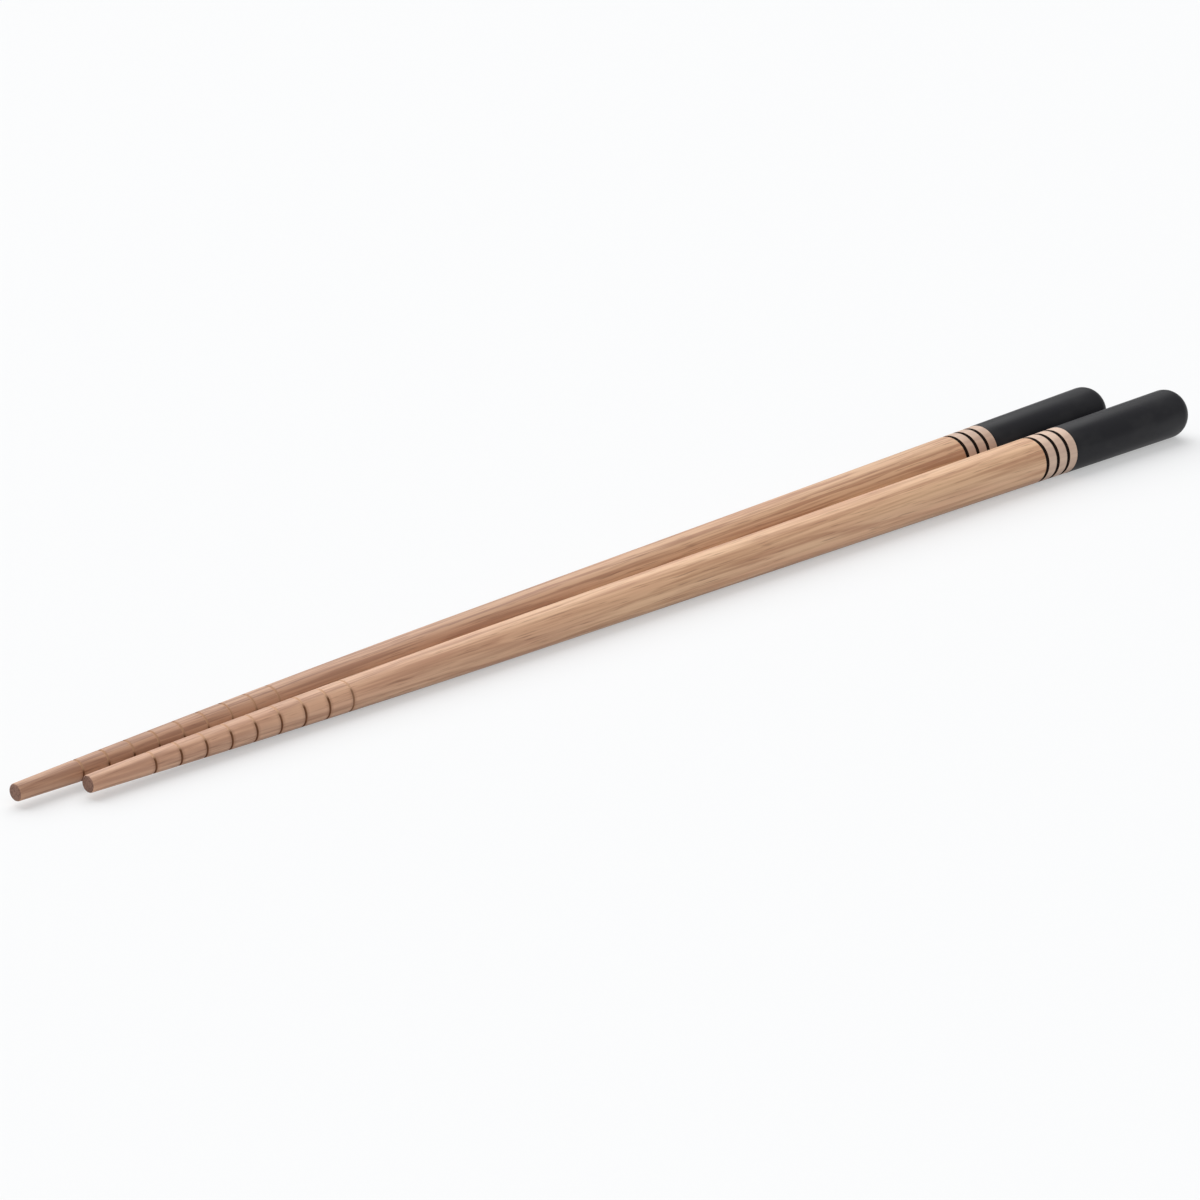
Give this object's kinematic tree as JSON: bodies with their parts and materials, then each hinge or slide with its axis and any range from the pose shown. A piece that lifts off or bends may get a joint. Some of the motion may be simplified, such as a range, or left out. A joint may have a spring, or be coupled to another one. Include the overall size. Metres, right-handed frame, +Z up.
{
  "type": "pair of chopsticks",
  "caption": "Round, tapered wooden eating sticks lying side by side, with grooved tips for grip, dark rings and black lacquered handle ends.",
  "frame": {"origin": "middle of the pair's footprint, on the surface that the sticks lie on", "axes": "+X along the pair from the tips to the handles, +Y from the front stick to the back stick, +Z up"},
  "size_m": [0.2328, 0.0186, 0.0079],
  "materials": {
    "stick_wood": "fine-grained tan wood, sanded and lightly oiled, with burnt grooves and rings and a satin black lacquered handle end"
  },
  "bodies": {
    "root": {"front_chopstick": "stick_wood", "back_chopstick": "stick_wood"}
  },
  "joints": []
}
